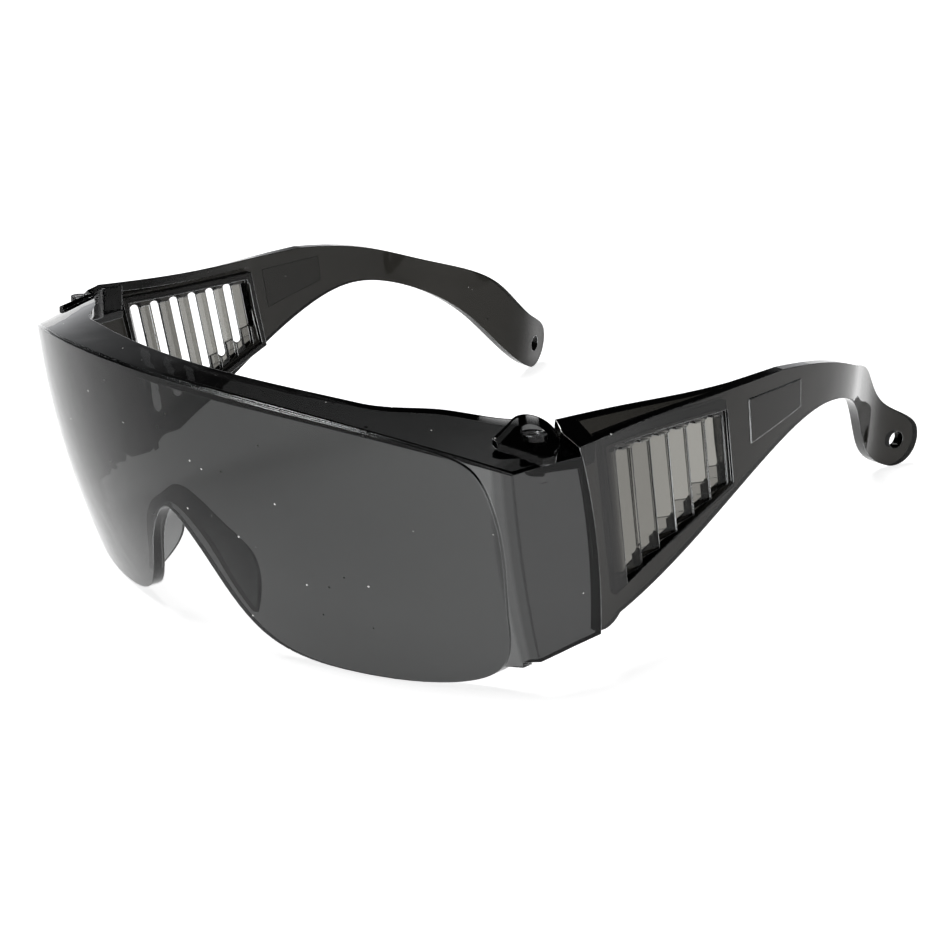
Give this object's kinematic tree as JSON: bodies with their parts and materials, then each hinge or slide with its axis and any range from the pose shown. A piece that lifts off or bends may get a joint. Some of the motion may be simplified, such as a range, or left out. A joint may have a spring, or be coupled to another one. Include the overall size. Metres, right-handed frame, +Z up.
{
  "type": "safety glasses",
  "caption": "One-piece wraparound tinted lens with brow ledge, side wraps and nose saddle, on folding slatted temples with a cord hole at each ear tip.",
  "frame": {"origin": "middle of the footprint, on the surface the glasses rest on, with the temples open", "axes": "+Y from the lens back to the ear tips, +X to the wearer's left, +Z up"},
  "size_m": [0.15, 0.1936, 0.0607],
  "materials": {
    "shield_polycarbonate": "gloss",
    "temple_polycarbonate": "gloss",
    "pin_polycarbonate": "gloss"
  },
  "bodies": {
    "shield": {"front_shield": "shield_polycarbonate", "hinge_pin_left": "pin_polycarbonate", "hinge_pin_right": "pin_polycarbonate"},
    "temple_left": {"temple_left": "temple_polycarbonate"},
    "temple_right": {"temple_right": "temple_polycarbonate"}
  },
  "joints": [
    {"name": "temple_left_fold", "type": "hinge", "parent": "shield", "child": "temple_left", "pos_m": [0.0675, -0.05946, 0.05458], "axis": [0, 0.0854, 0.9963], "range_deg": [0, 50]},
    {"name": "temple_right_fold", "type": "hinge", "parent": "shield", "child": "temple_right", "pos_m": [-0.0675, -0.05946, 0.05458], "axis": [0, -0.0854, -0.9963], "range_deg": [0, 20]}
  ]
}
